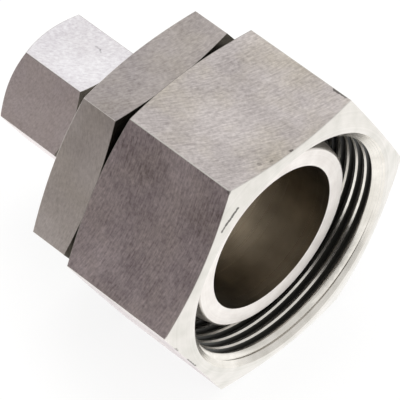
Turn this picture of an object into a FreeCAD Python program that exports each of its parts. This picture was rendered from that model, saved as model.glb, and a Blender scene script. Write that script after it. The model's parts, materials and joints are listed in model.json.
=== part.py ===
"""Straight reducing compression fitting with a swivel nut, lying on one flat of that nut.

All lengths are millimetres and all angles degrees. The fitting's axis is the X axis. The mouth of
the swivel nut is the plane X = 0 and looks along +X, the tube nut is at the far end, and +Z is up.
Each piece is drawn on its own axis with its front end at zero depth, depth running into the
fitting, and its Placement turns that depth to -X and moves it to its place.
"""
import FreeCAD, Part
import os

import Sketcher

doc = FreeCAD.newDocument("reducing_fitting")
size = doc.addObject("Spreadsheet::Sheet", "size")

# Driving sizes: alias, value and what it measures
SIZES = [
    ("big_thread_dia", 45.0, "swivel nut thread, nominal"),
    ("big_thread_pitch", 2.0, "swivel nut thread, pitch"),
    ("nut_length", 25.5, "swivel nut, mouth to rear face"),
    ("nut_wall", 2.5, "swivel nut's thread to its flats, so it is 50 across flats"),
    ("nut_bevel_inset", 1.0, "flats to the circle where the swivel nut's end bevels begin"),
    ("nut_bevel_angle", 16.0, "slope of those bevels"),
    ("mouth_lead", 0.2, "countersink at the mouth beyond the thread's root"),
    ("nut_collar", 6.9, "swivel nut's plain bore at its rear end"),
    ("relief_length", 3.0, "thread relief, along the axis"),
    ("relief_depth", 0.15, "thread relief below the thread's root"),
    ("rear_edge", 0.3, "bevel where the shank enters the swivel nut"),
    ("nose_recess", 4.4, "mouth to the face of the nose"),
    ("nose_gap", 4.9, "thread's root to the nose at its face, so that is 35.2 in diameter"),
    ("nose_wall", 3.5, "wall of the nose at its face, so the main bore is 28.2 in diameter"),
    ("nose_edge", 0.3, "bevel round the nose's face"),
    ("cone_angle", 24.0, "sealing cones, included angle"),
    ("nose_flare", 1.5, "how far the nose's cone widens to the shank, so that is 38.2 in diameter"),
    ("swivel_clearance", 0.35, "radial gap between the shank and the swivel nut"),
    ("swivel_gap", 0.5, "gap between the swivel nut and the body's hexagon"),
    ("o_ring_cord", 2.5, "O-ring, cord diameter"),
    ("o_ring_groove_start", 2.6, "nose face to the O-ring groove"),
    ("o_ring_groove_length", 3.2, "O-ring groove, along the axis"),
    ("o_ring_groove_depth", 1.2, "O-ring groove below the nose at its face"),
    ("wire_dia", 2.5, "retaining ring, wire diameter"),
    ("wire_clearance", 0.05, "gap round the wire in its grooves"),
    ("wire_split_angle", 14.0, "opening of the retaining ring, in degrees"),
    ("wire_inset", 4.5, "middle of the retaining ring to the swivel nut's rear face"),
    ("wire_groove_depth", 1.2, "retaining ring groove in the shank"),
    ("wire_room", 1.3, "room for the retaining ring to open in the swivel nut's groove"),
    ("forward_play", 0.6, "travel of the swivel nut towards the mating fitting"),
    ("hex_length", 9.7, "body hexagon, along the axis"),
    ("hex_wall", 3.9, "shank to the body hexagon's flats, so it is 46 across flats"),
    ("hex_bevel_inset", 0.7, "flats to the circle where the body hexagon's bevels begin"),
    ("hex_bevel_angle", 15.0, "slope of those bevels"),
    ("hex_turn_angle", 3.4, "turn of the body hexagon from the swivel nut's"),
    ("bore_depth", 24.0, "nose face to the end of the main bore"),
    ("drill_angle", 118.0, "included angle at the end of the main bore"),
    ("tube_dia", 12.0, "tube that the fitting takes"),
    ("tube_clearance", 0.05, "radial gap round the tube"),
    ("tube_wall", 1.0, "ledge that stops the tube, so the small bore is 10 in diameter"),
    ("tube_stop", 7.0, "face of the stud to the tube's stop"),
    ("socket_flare", 1.0, "how far the stud's cone widens from the tube's hole"),
    ("stud_length", 14.5, "body hexagon to the face of the stud"),
    ("stud_wall", 3.0, "tube to the stud's thread, so that is 18 nominal"),
    ("stud_bevel", 1.0, "bevel at the stud's face"),
    ("small_thread_pitch", 1.5, "tube nut thread, pitch"),
    ("thread_clearance", 0.1, "radial gap between the stud and the tube nut"),
    ("undercut_length", 3.0, "undercut between the hexagon and the stud's thread"),
    ("undercut_depth", 0.15, "undercut below the thread's root"),
    ("tube_nut_wall", 2.0, "tube nut's thread to its flats, so it is 22 across flats"),
    ("tube_nut_bevel_inset", 0.4, "flats to the circle where the tube nut's bevels begin"),
    ("tube_nut_bevel_angle", 30.0, "slope of those bevels"),
    ("tube_nut_lead", 0.4, "bevel where the stud enters the tube nut"),
    ("tube_nut_gap", 6.5, "body hexagon to the tube nut"),
    ("tube_nut_turn_angle", 0.7, "turn of the tube nut from the swivel nut"),
    ("tube_nut_collar", 3.35, "tube nut's plain bore at its outer end"),
    ("ring_height", 1.35, "cutting ring's collar above the tube's hole"),
    ("ring_collar", 2.0, "cutting ring's collar, along the axis"),
    ("ring_entry", 2.3, "how far the cutting ring reaches into the stud"),
    ("ring_stand_off", 0.7, "face of the stud to the cutting ring's collar"),
    ("ring_room", 0.9, "room round the cutting ring's collar in the tube nut"),
    ("ring_seat_gap", 0.1, "gap between the cutting ring and the tube nut's cone"),
    ("ring_cone_gap", 0.17, "radial gap between the cutting ring and the stud's cone"),
    ("ring_tooth", 0.3, "height of the cutting ring's two edges"),
    ("ring_land", 0.6, "width of each of those edges"),
    ("ring_second_edge", 1.65, "front of the cutting ring to its second edge"),
]
for row, (alias, number, note) in enumerate(SIZES, start=1):
    size.set(f"A{row}", note)
    size.set(f"B{row}", str(number))
    size.setAlias(f"B{row}", alias)
doc.recompute()

# Metric thread form, as shares of the pitch: 60 degree flanks between flats at crest and root
THREAD_DEPTH_RATIO = "0.5413"
NUT_ROOT_RATIO = "0.125"
STUD_ROOT_RATIO = "0.25"
# A helical cut opens this share of its depth past the crest, so that no skin is left on the crest
PAST_CREST_RATIO = "0.1"
# The swivel nut's thread starts this many turns ahead of the mouth, which sets where it runs out
LEAD_TURNS = "1.25"
# Turned cuts run this far past the surface that they open
CUT_PAST = "1"


def new_piece(label):
    """An empty body whose depth runs along -X once it is placed."""
    body = doc.addObject("PartDesign::Body", label)
    body.Label = label
    body.Placement = FreeCAD.Placement(FreeCAD.Vector(), FreeCAD.Rotation(FreeCAD.Vector(0, 1, 0), -90))
    return body


def set_depth(body, depth):
    """Moves a body's own zero depth to this depth behind the mouth."""
    body.setExpression("Placement.Base.x", f"-({depth})")


def origin_plane(body, role):
    """One of the body's own origin planes, such as XZ_Plane."""
    return next(part for part in body.Origin.OriginFeatures if part.Role == role)


def new_sketch(body, name, role):
    """An empty sketch on one of the body's own origin planes."""
    sketch = body.newObject("Sketcher::SketchObject", name)
    sketch.AttachmentSupport = [(origin_plane(body, role), "")]
    sketch.MapMode = "FlatFace"
    return sketch


def pin_point(sketch, line, point, across, along):
    """Holds one end of a line at a distance from both axes of the sketch."""
    for text, kind, axis in ((across, "DistanceX", -2), (along, "DistanceY", -1)):
        if text == "0":
            sketch.addConstraint(Sketcher.Constraint("PointOnObject", line, point, axis))
        else:
            index = sketch.addConstraint(Sketcher.Constraint(kind, -1, 1, line, point, 1.0))
            sketch.setExpression(f"Constraints[{index}]", text)


def outline(sketch, corners):
    """A closed outline of straight lines; each corner is (radius, depth), both as expressions."""
    first = sketch.GeometryCount
    count = len(corners)
    # Drafted apart from each other and from both axes; the constraints then move them
    draft = [FreeCAD.Vector(count + index, index ** 2, 0) for index in range(count + 1)]
    for start, end in zip(draft, draft[1:]):
        sketch.addGeometry(Part.LineSegment(start, end), False)
    for index in range(count):
        following = first + (index + 1) % count
        sketch.addConstraint(Sketcher.Constraint("Coincident", first + index, 2, following, 1))
    for index, (radius, depth) in enumerate(corners):
        pin_point(sketch, first + index, 1, radius, depth)


def turned(body, kind, name, corners):
    """A Revolution or a Groove of an outline about the body's axis."""
    sketch = new_sketch(body, name + "_outline", "XZ_Plane")
    outline(sketch, corners)
    feature = body.newObject(f"PartDesign::{kind}", name)
    feature.Profile = sketch
    feature.ReferenceAxis = (sketch, ["V_Axis"])
    doc.recompute()
    return feature


def hexagon(body, name, flats, start, length, turn="0"):
    """A hexagonal bar with one flat upwards, then turned right-handed about +X."""
    sketch = new_sketch(body, name + "_outline", "XY_Plane")
    turn_about_axis = FreeCAD.Rotation(FreeCAD.Vector(0, 0, 1), 1)
    sketch.AttachmentOffset = FreeCAD.Placement(FreeCAD.Vector(), turn_about_axis)
    sketch.setExpression("AttachmentOffset.Base.z", start)
    sketch.setExpression("AttachmentOffset.Rotation.Angle", f"30 - {turn}")
    circle = sketch.addGeometry(Part.Circle(FreeCAD.Vector(), FreeCAD.Vector(0, 0, 1), 1), True)
    sketch.addConstraint(Sketcher.Constraint("Coincident", circle, 3, -1, 1))
    corners = [FreeCAD.Vector(1, 0, 0)]
    turn_on = FreeCAD.Rotation(FreeCAD.Vector(0, 0, 1), 60)
    for index in range(6):
        corners.append(turn_on.multVec(corners[-1]))
    sides = [sketch.addGeometry(Part.LineSegment(corners[i], corners[i + 1]), False) for i in range(6)]
    for index, side in enumerate(sides):
        sketch.addConstraint(Sketcher.Constraint("Coincident", side, 2, sides[(index + 1) % 6], 1))
        sketch.addConstraint(Sketcher.Constraint("PointOnObject", side, 1, circle))
        if index:
            sketch.addConstraint(Sketcher.Constraint("Equal", sides[0], side))
    sketch.addConstraint(Sketcher.Constraint("PointOnObject", sides[0], 1, -1))
    radius = sketch.addConstraint(Sketcher.Constraint("Radius", circle, 1.0))
    sketch.setExpression(f"Constraints[{radius}]", f"{flats} / 2 / cos(30)")
    pad = body.newObject("PartDesign::Pad", name)
    pad.Profile = sketch
    pad.setExpression("Length", length)
    doc.recompute()
    return pad


def end_bevels(body, flats, start, length, inset, slope):
    """The turned bevels that round off both ends of a hexagonal bar."""
    inner = f"({flats} / 2 - {inset})"
    rim = f"({flats} / 2 / cos(30) + {CUT_PAST})"
    drop = f"({rim} - {inner}) * tan({slope})"
    near = [(inner, start), (rim, start), (rim, f"{start} + {drop}")]
    end = f"{start} + {length}"
    far = [(inner, end), (rim, f"{end} - {drop}"), (rim, end)]
    turned(body, "Groove", body.Name + "_near_bevel", near)
    turned(body, "Groove", body.Name + "_far_bevel", far)


def cut_thread(body, name, crest, root, root_flat, pitch, start, run):
    """Cuts a thread's helical groove, from the crest radius to the root radius."""
    sketch = new_sketch(body, name + "_outline", "XZ_Plane")
    opening = f"({crest} - ({root} - {crest}) * {PAST_CREST_RATIO})"
    half_root = f"{pitch} * {root_flat} / 2"
    half_opening = f"({half_root} + {pitch} * {THREAD_DEPTH_RATIO} * (1 + {PAST_CREST_RATIO}) * tan(30))"
    outline(sketch, [
        (opening, f"{start} - {half_opening}"),
        (root, f"{start} - {half_root}"),
        (root, f"{start} + {half_root}"),
        (opening, f"{start} + {half_opening}"),
    ])
    helix = body.newObject("PartDesign::SubtractiveHelix", name)
    helix.Profile = sketch
    helix.ReferenceAxis = (sketch, ["V_Axis"])
    helix.Mode = "pitch-height-angle"
    helix.setExpression("Pitch", pitch)
    helix.setExpression("Height", run)
    doc.recompute()
    return helix


# Sizes that follow from the driving ones, written once for the pieces that share them.
# Radii are measured from the axis, and depths from the face of the nose or of the piece named.
BIG_MAJOR = "(size.big_thread_dia / 2)"
BIG_MINOR = f"({BIG_MAJOR} - {THREAD_DEPTH_RATIO} * size.big_thread_pitch)"
RELIEF_RADIUS = f"({BIG_MAJOR} + size.relief_depth)"
NOSE = f"({BIG_MAJOR} - size.nose_gap)"
SHANK = f"({NOSE} + size.nose_flare)"
NUT_BORE = f"({SHANK} + size.swivel_clearance)"
MAIN_BORE = f"({NOSE} - size.nose_wall)"
WIRE_DEPTH = "(size.nut_length - size.wire_inset)"
WIRE_GROOVE = f"({SHANK} - size.wire_groove_depth)"
WIRE_MIDDLE = f"({WIRE_GROOVE} + 2 * size.wire_clearance + size.wire_dia / 2)"
O_RING_GROOVE = f"({NOSE} - size.o_ring_groove_depth)"
NUT_FLATS = "(size.big_thread_dia + 2 * size.nut_wall)"
HEX_FLATS = f"(2 * ({SHANK} + size.hex_wall))"
HEX_START = "(size.nut_length + size.swivel_gap - size.nose_recess)"
HEX_END = f"({HEX_START} + size.hex_length)"
STUD_FACE = f"({HEX_END} + size.stud_length)"
CONE_SLOPE = "tan(size.cone_angle / 2)"
TUBE_HOLE = "(size.tube_dia / 2 + size.tube_clearance)"
SOCKET_MOUTH = f"({TUBE_HOLE} + size.socket_flare)"
STUD_MAJOR = "(size.tube_dia / 2 + size.stud_wall)"
STUD_MINOR = f"({STUD_MAJOR} - {THREAD_DEPTH_RATIO} * size.small_thread_pitch)"
TUBE_NUT_FLATS = f"(2 * ({STUD_MAJOR} + size.tube_nut_wall))"
TUBE_NUT_START = f"({HEX_END} + size.tube_nut_gap)"
RING_START = f"({STUD_FACE} - size.ring_entry)"
RING_COLLAR = f"({TUBE_HOLE} + size.ring_height)"
RING_COLLAR_START = "(size.ring_entry + size.ring_stand_off)"
RING_SHOULDER_START = f"({RING_COLLAR_START} + size.ring_collar)"
RING_LENGTH = f"({RING_SHOULDER_START} + size.ring_height - size.ring_seat_gap)"
TUBE_NUT_INSIDE = f"({RING_START} + {RING_LENGTH} + 2 * size.ring_seat_gap - {TUBE_NUT_START})"
TUBE_NUT_LENGTH = f"({TUBE_NUT_INSIDE} + size.tube_nut_collar)"


def make_swivel_nut():
    """Union nut: hexagon, stepped bore with the retaining ring's groove, and the internal thread."""
    body = new_piece("swivel_nut")
    set_depth(body, "0")
    rear = "size.nut_length"
    hexagon(body, "swivel_nut_bar", NUT_FLATS, "0", rear)
    end_bevels(body, NUT_FLATS, "0", rear, "size.nut_bevel_inset", "size.nut_bevel_angle")
    mouth = f"({BIG_MAJOR} + size.mouth_lead)"
    shoulder_end = f"({rear} - size.nut_collar)"
    relief_end = f"({shoulder_end} - ({RELIEF_RADIUS} - {NUT_BORE}))"
    relief_start = f"({relief_end} - size.relief_length)"
    turned(body, "Groove", "swivel_nut_bore", [
        ("0", "0"),
        (mouth, "0"),
        (BIG_MINOR, f"{mouth} - {BIG_MINOR}"),
        (BIG_MINOR, relief_start),
        (RELIEF_RADIUS, f"{relief_start} + ({RELIEF_RADIUS} - {BIG_MINOR}) / 2"),
        (RELIEF_RADIUS, relief_end),
        (NUT_BORE, shoulder_end),
        (NUT_BORE, f"{rear} - size.rear_edge"),
        (f"{NUT_BORE} + size.rear_edge", rear),
        ("0", rear),
    ])
    near = f"({WIRE_DEPTH} - size.wire_dia / 2 - size.wire_clearance)"
    far = f"({WIRE_DEPTH} + size.wire_dia / 2 + size.wire_clearance)"
    inside = f"{NUT_BORE} - size.swivel_clearance"
    room = f"{WIRE_MIDDLE} + size.wire_dia / 2 + size.wire_room"
    turned(body, "Groove", "swivel_nut_ring_groove", [
        (inside, near),
        (room, near),
        (room, far),
        (inside, far),
    ])
    pitch = "size.big_thread_pitch"
    lead = f"{pitch} * {LEAD_TURNS}"
    run = f"{relief_start} + size.relief_length / 2 + {lead}"
    cut_thread(body, "swivel_nut_thread", BIG_MINOR, BIG_MAJOR, NUT_ROOT_RATIO, pitch, f"-{lead}", run)
    return body


def make_reducer_body():
    """The turned body: sealing nose, shank, hexagon and the threaded stud, bored through."""
    body = new_piece("reducer_body")
    set_depth(body, "size.nose_recess")
    hexagon_middle = f"{HEX_START} + size.hex_length / 2"
    turned(body, "Revolution", "reducer_turning", [
        ("0", "0"),
        (f"{NOSE} - size.nose_edge", "0"),
        (f"{NOSE} + size.nose_edge * {CONE_SLOPE}", "size.nose_edge"),
        (SHANK, f"size.nose_flare / {CONE_SLOPE}"),
        (SHANK, hexagon_middle),
        (STUD_MAJOR, hexagon_middle),
        (STUD_MAJOR, f"{STUD_FACE} - size.stud_bevel"),
        (f"{STUD_MAJOR} - size.stud_bevel", STUD_FACE),
        ("0", STUD_FACE),
    ])
    hexagon(body, "reducer_hexagon", HEX_FLATS, HEX_START, "size.hex_length", "size.hex_turn_angle")
    end_bevels(body, HEX_FLATS, HEX_START, "size.hex_length", "size.hex_bevel_inset", "size.hex_bevel_angle")
    stop = f"({STUD_FACE} - size.tube_stop)"
    flow = "(size.tube_dia / 2 - size.tube_wall)"
    drill_end = f"(size.bore_depth + ({MAIN_BORE} - {flow}) / tan(size.drill_angle / 2))"
    turned(body, "Groove", "reducer_bore", [
        ("0", "0"),
        (MAIN_BORE, "0"),
        (MAIN_BORE, "size.bore_depth"),
        (flow, drill_end),
        (flow, stop),
        (TUBE_HOLE, stop),
        (TUBE_HOLE, f"{STUD_FACE} - size.socket_flare / {CONE_SLOPE}"),
        (SOCKET_MOUTH, STUD_FACE),
        ("0", STUD_FACE),
    ])
    o_ring_end = "(size.o_ring_groove_start + size.o_ring_groove_length)"
    outside = f"{SHANK} + {CUT_PAST}"
    turned(body, "Groove", "reducer_o_ring_groove", [
        (O_RING_GROOVE, "size.o_ring_groove_start"),
        (outside, "size.o_ring_groove_start"),
        (outside, o_ring_end),
        (O_RING_GROOVE, o_ring_end),
    ])
    middle = f"{WIRE_DEPTH} - size.nose_recess"
    near = f"({middle} - size.wire_dia / 2 - 2 * size.wire_clearance - size.forward_play)"
    far = f"({middle} + size.wire_dia / 2 + 2 * size.wire_clearance + size.swivel_gap)"
    turned(body, "Groove", "reducer_ring_groove", [
        (WIRE_GROOVE, near),
        (outside, near),
        (outside, far),
        (WIRE_GROOVE, far),
    ])
    undercut = f"({STUD_MINOR} - size.undercut_depth)"
    stud_outside = f"{STUD_MAJOR} + {CUT_PAST}"
    thread_start = f"({HEX_END} + size.undercut_length)"
    turned(body, "Groove", "reducer_undercut", [
        (undercut, HEX_END),
        (stud_outside, HEX_END),
        (stud_outside, f"{thread_start} + {stud_outside} - {undercut}"),
        (undercut, thread_start),
    ])
    first_turn = f"({HEX_END} + size.undercut_length / 2)"
    pitch = "size.small_thread_pitch"
    run = f"{STUD_FACE} + {pitch} - {first_turn}"
    cut_thread(body, "reducer_thread", STUD_MAJOR, STUD_MINOR, STUD_ROOT_RATIO, pitch, first_turn, run)
    return body


def make_tube_nut():
    """Small union nut: hexagon, threaded end, 45 degree cone for the cutting ring, tube hole."""
    body = new_piece("tube_nut")
    set_depth(body, f"size.nose_recess + {TUBE_NUT_START}")
    hexagon(body, "tube_nut_bar", TUBE_NUT_FLATS, "0", TUBE_NUT_LENGTH, "size.tube_nut_turn_angle")
    inset = "size.tube_nut_bevel_inset"
    end_bevels(body, TUBE_NUT_FLATS, "0", TUBE_NUT_LENGTH, inset, "size.tube_nut_bevel_angle")
    thread_bore = f"({STUD_MAJOR} + size.thread_clearance)"
    room = f"({RING_COLLAR} + size.ring_room)"
    cone_start = f"({TUBE_NUT_INSIDE} - ({room} - {TUBE_HOLE}))"
    turned(body, "Groove", "tube_nut_bore", [
        ("0", "0"),
        (f"{thread_bore} + size.tube_nut_lead", "0"),
        (thread_bore, "size.tube_nut_lead"),
        (thread_bore, f"{cone_start} - ({thread_bore} - {room})"),
        (room, cone_start),
        (TUBE_HOLE, TUBE_NUT_INSIDE),
        (TUBE_HOLE, TUBE_NUT_LENGTH),
        ("0", TUBE_NUT_LENGTH),
    ])
    return body


def make_cutting_ring():
    """Hardened ring with two cutting edges, held between the stud's cone and the tube nut's."""
    body = new_piece("cutting_ring")
    set_depth(body, f"size.nose_recess + {RING_START}")
    tip = f"({SOCKET_MOUTH} - size.ring_entry * {CONE_SLOPE} - size.ring_cone_gap)"
    relief_radius = f"{TUBE_HOLE} + size.ring_tooth"
    second_edge = "size.ring_second_edge"
    turned(body, "Revolution", "cutting_ring_turning", [
        (TUBE_HOLE, "0"),
        (tip, "0"),
        (f"{tip} + {RING_COLLAR_START} * {CONE_SLOPE}", RING_COLLAR_START),
        (RING_COLLAR, RING_COLLAR_START),
        (RING_COLLAR, RING_SHOULDER_START),
        (f"{TUBE_HOLE} + size.ring_seat_gap", RING_LENGTH),
        (TUBE_HOLE, RING_LENGTH),
        (TUBE_HOLE, RING_SHOULDER_START),
        (relief_radius, f"{RING_SHOULDER_START} - size.ring_tooth"),
        (relief_radius, f"{second_edge} + size.ring_land"),
        (TUBE_HOLE, f"{second_edge} + size.ring_land"),
        (TUBE_HOLE, second_edge),
        (relief_radius, f"{second_edge} - size.ring_tooth"),
        (relief_radius, "size.ring_land"),
        (TUBE_HOLE, "size.ring_land"),
    ])
    return body


def make_retaining_ring():
    """Round wire, bent to an open ring, that rides in the swivel nut's groove."""
    body = new_piece("retaining_ring")
    set_depth(body, WIRE_DEPTH)
    sketch = new_sketch(body, "retaining_ring_outline", "XZ_Plane")
    wire = sketch.addGeometry(Part.Circle(FreeCAD.Vector(3, 0, 0), FreeCAD.Vector(0, 0, 1), 1), False)
    radius = sketch.addConstraint(Sketcher.Constraint("Radius", wire, 1.0))
    sketch.setExpression(f"Constraints[{radius}]", "size.wire_dia / 2")
    middle = sketch.addConstraint(Sketcher.Constraint("DistanceX", -1, 1, wire, 3, 3.0))
    sketch.setExpression(f"Constraints[{middle}]", WIRE_MIDDLE)
    sketch.addConstraint(Sketcher.Constraint("PointOnObject", wire, 3, -1))
    ring = body.newObject("PartDesign::Revolution", "retaining_ring_wire")
    ring.Profile = sketch
    ring.ReferenceAxis = (sketch, ["V_Axis"])
    ring.setExpression("Angle", "360 - size.wire_split_angle")
    doc.recompute()
    return body


def make_nose_o_ring():
    """O-ring that lies in the groove of the sealing nose."""
    ring = doc.addObject("Part::Torus", "nose_o_ring")
    ring.Label = "nose_o_ring"
    ring.setExpression("Radius1", f"{O_RING_GROOVE} + size.o_ring_cord / 2")
    ring.setExpression("Radius2", "size.o_ring_cord / 2")
    ring.Placement = FreeCAD.Placement(FreeCAD.Vector(), FreeCAD.Rotation(FreeCAD.Vector(0, 1, 0), -90))
    ring.setExpression(
        "Placement.Base.x", "-(size.nose_recess + size.o_ring_groove_start + size.o_ring_groove_length / 2)")
    return ring


pieces = [
    make_swivel_nut(),
    make_reducer_body(),
    make_tube_nut(),
    make_cutting_ring(),
    make_retaining_ring(),
    make_nose_o_ring(),
]
doc.recompute()

for item in doc.Objects:
    if "Invalid" in item.State or "Error" in item.State:
        raise RuntimeError(f"{item.Label} failed: {item.State}")
for piece in pieces:
    if piece.Shape.isNull() or not piece.Shape.isValid() or len(piece.Shape.Solids) != 1:
        raise RuntimeError(f"{piece.Label} is not one valid solid")

os.makedirs("parts", exist_ok=True)
for piece in pieces:
    piece.Shape.exportStep(f"parts/{piece.Label}.step")
    box = piece.Shape.optimalBoundingBox(False)
    print(f"{piece.Label}: {piece.Shape.Volume:.1f} mm3, X {box.XMin:.2f} to {box.XMax:.2f}")
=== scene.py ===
# %% [markdown]
# # A reducing tube fitting of stainless steel
# The fitting has a large swivel nut with an internal thread, a turned body whose sealing nose shows
# inside that nut, and a small tube nut on the body's threaded stud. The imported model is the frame: it
# says where each piece is and how it moves. Each piece made here stands for one node of that frame and
# rides on the same body. The lesson follows a machinist: turn a blank, mill its flats, cut its thread.

# %% Load the frame
import json
import math

import bmesh
import bpy
from mathutils import Matrix, Vector


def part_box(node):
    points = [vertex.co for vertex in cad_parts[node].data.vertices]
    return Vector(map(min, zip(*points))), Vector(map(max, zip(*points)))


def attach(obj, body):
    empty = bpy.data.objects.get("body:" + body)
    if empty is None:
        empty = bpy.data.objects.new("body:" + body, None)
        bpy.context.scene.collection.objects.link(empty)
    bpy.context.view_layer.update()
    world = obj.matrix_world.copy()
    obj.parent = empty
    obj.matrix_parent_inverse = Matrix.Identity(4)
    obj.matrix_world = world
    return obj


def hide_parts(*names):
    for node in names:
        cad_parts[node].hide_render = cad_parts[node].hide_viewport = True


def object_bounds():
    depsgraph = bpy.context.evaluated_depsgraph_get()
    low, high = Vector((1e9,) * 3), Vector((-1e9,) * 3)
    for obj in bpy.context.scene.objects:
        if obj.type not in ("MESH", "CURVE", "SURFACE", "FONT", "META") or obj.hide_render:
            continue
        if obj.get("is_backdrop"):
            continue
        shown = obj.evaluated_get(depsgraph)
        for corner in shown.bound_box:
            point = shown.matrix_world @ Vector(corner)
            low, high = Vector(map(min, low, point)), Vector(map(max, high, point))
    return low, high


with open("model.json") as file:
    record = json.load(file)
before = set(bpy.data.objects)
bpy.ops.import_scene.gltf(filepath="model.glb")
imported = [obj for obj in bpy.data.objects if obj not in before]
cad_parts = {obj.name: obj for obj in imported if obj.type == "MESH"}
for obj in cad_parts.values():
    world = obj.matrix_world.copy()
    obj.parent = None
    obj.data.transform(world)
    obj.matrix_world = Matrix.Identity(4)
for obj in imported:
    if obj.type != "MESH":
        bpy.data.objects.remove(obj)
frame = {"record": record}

cad_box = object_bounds()

# %% [markdown]
# ## Sizes
# The frame is in metres and a machinist's drawing is in millimetres. The pieces are drawn in
# millimetres and scaled once, when each mesh is done. The pieces' ends and the swivel nut's width across
# flats are read from the frame, so the pieces stay with it. X runs along the axis, and the mouth is at
# X = 0.

# %% Units, axis and the sizes that the frame gives
MM = 0.001
AXIS = Vector((1, 0, 0))
CENTRE = Vector((0, 0, 0))
FULL_TURN = 2 * math.pi


def ends_of(node):
    """Lowest and highest corner of a node, in millimetres."""
    return [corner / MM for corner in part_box(node)]


nut_low, nut_high = ends_of("swivel_nut")
body_low, body_high = ends_of("reducer_body")
small_low, small_high = ends_of("tube_nut")
ring_low, ring_high = ends_of("cutting_ring")
wire_low, wire_high = ends_of("retaining_ring")
seal_low, seal_high = ends_of("nose_o_ring")
NUT_REAR = nut_low.x
NUT_FLATS = nut_high.z - nut_low.z
NOSE_FACE = body_high.x
STUD_FACE = body_low.x
print(f"swivel nut {-NUT_REAR:.1f} long, {NUT_FLATS:.1f} across flats; nose face at {NOSE_FACE:.1f}")

# %% Sizes of the threads and the turned steps
# Metric threads: nominal diameter and pitch, with the depth as a share of the pitch
BIG_THREAD, BIG_PITCH = 45.0, 2.0
SMALL_THREAD, SMALL_PITCH = 18.0, 1.5
THREAD_DEPTH = 0.5413
CONE = math.tan(math.radians(12))
NOSE_RADIUS = 17.6
SHANK_RADIUS = 19.1
NUT_BORE = 19.45
MAIN_BORE = 14.1
TUBE_HOLE = 6.05
FLOW_BORE = 5.0
HEX_FLATS = 46.0
HEX_FRONT, HEX_REAR = -26.0, -35.7
HEX_TURN = math.radians(3.4)
SMALL_FLATS = 22.0
SMALL_TURN = math.radians(0.7)
COLLAR_RADIUS = 7.4
SOCKET_MOUTH = 7.05

# %% [markdown]
# ## Turning on a lathe
# Round work is made as a lathe makes it: half of the section is drawn as a closed outline, and
# `bmesh.ops.spin` carries it round the axis. No real edge is perfectly sharp, so the outline's corners
# are rounded first with a vertex bevel. A broken edge of a tenth of a millimetre is what catches the
# light in a photograph. With `dvec` the spin also climbs, which makes the helix of a thread.

# %% Turned work
ROUND_STEPS = 192
# Widths of a broken edge, in millimetres: most edges, the small flats' edges and a hardened ring's
EDGE_BREAK = 0.12
FINE_BREAK = 0.07
KEEN_BREAK = 0.02


def turned(outline, edge_break=EDGE_BREAK):
    """A closed outline of (x, radius) corners, rounded at its corners and spun about the axis."""
    work = bmesh.new()
    corners = [work.verts.new((x, 0, radius)) for x, radius in outline]
    for pair in zip(corners, corners[1:] + corners[:1]):
        work.edges.new(pair)
    if edge_break:
        bmesh.ops.bevel(work, geom=corners, offset=edge_break, offset_type="OFFSET", segments=2,
                        profile=0.5, affect="VERTICES", material=-1, clamp_overlap=True)
    bmesh.ops.spin(work, geom=work.verts[:] + work.edges[:], cent=CENTRE, axis=AXIS,
                   angle=FULL_TURN, steps=ROUND_STEPS, use_merge=True)
    bmesh.ops.recalc_face_normals(work, faces=work.faces[:])
    return work


# %% [markdown]
# ## Milling the flats
# A hexagon is a turned blank with six flats milled on it. `bisect_plane` removes what lies outside each
# flat's plane, and `holes_fill` closes the cut with one face. The blank's turned end bevels then meet
# the flats in the arched edges that every nut has. The blank's steps are a multiple of twelve, so the
# hexagon's corners fall on its meridians and the arches come out even.

# %% Milled flats
SIDES = 6
# Faces this near to a flat's plane, in millimetres, belong to the flat
FLAT_TOLERANCE = 0.01


def is_flat(face, across):
    """True for a face of one of the six milled flats."""
    if abs(face.normal.x) > FLAT_TOLERANCE:
        return False
    return abs(face.normal.dot(face.calc_center_median()) - across / 2) < FLAT_TOLERANCE


def mill_flats(work, across, turn=0.0, edge_break=EDGE_BREAK):
    """Mills a hexagon, one flat upwards, breaks its edges, and turns it about the axis."""
    for side in range(SIDES):
        outwards = Matrix.Rotation(side * FULL_TURN / SIDES, 3, "X") @ Vector((0, 0, 1))
        cut = bmesh.ops.bisect_plane(work, geom=work.verts[:] + work.edges[:] + work.faces[:], dist=1e-5,
                                     plane_co=outwards * across / 2, plane_no=outwards, clear_outer=True)
        rim = [item for item in cut["geom_cut"] if isinstance(item, bmesh.types.BMEdge)]
        bmesh.ops.holes_fill(work, edges=rim, sides=0)
    bmesh.ops.recalc_face_normals(work, faces=work.faces[:])
    edges = {edge for face in work.faces if is_flat(face, across) for edge in face.edges}
    bmesh.ops.bevel(work, geom=list(edges), offset=edge_break, offset_type="OFFSET", segments=2,
                    profile=0.5, affect="EDGES", material=-1, clamp_overlap=True)
    bmesh.ops.rotate(work, verts=work.verts[:], cent=CENTRE, matrix=Matrix.Rotation(turn, 3, "X"))


def end_bevels(front, rear, across, inset, slope):
    """The outline of a blank whose ends are bevelled from inside the flats out past the corners."""
    inner = across / 2 - inset
    outer = across / 2 / math.cos(math.pi / SIDES) + 1.0
    drop = (outer - inner) * math.tan(math.radians(slope))
    return [(front, inner), (front - drop, outer), (rear + drop, outer), (rear, inner)]


# %% [markdown]
# ## Cutting a thread
# A tap leaves a groove that winds along the bore. The groove's section is a blunt V of 60 degrees that
# opens wider at its lips, so the crest between two turns keeps a small bevel. The section is spun with a
# climb of one pitch a turn, its two ends are closed, and a Boolean modifier takes it out of the work.
# A bump texture would have no depth. In this mouth the thread is seen from the side, and the dark
# flanks between its bright crests are what makes it read as a thread.

# %% The thread's cutter and the Boolean cut
TURN_STEPS = 96
FLANK = math.tan(math.radians(30))
# Depth and further width of the bevel along the crest, in millimetres
CREST_BEVEL = (0.22, 0.22)
# The cutter starts this far beyond the crest, so that no skin is left there
BEYOND = 0.08


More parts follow.
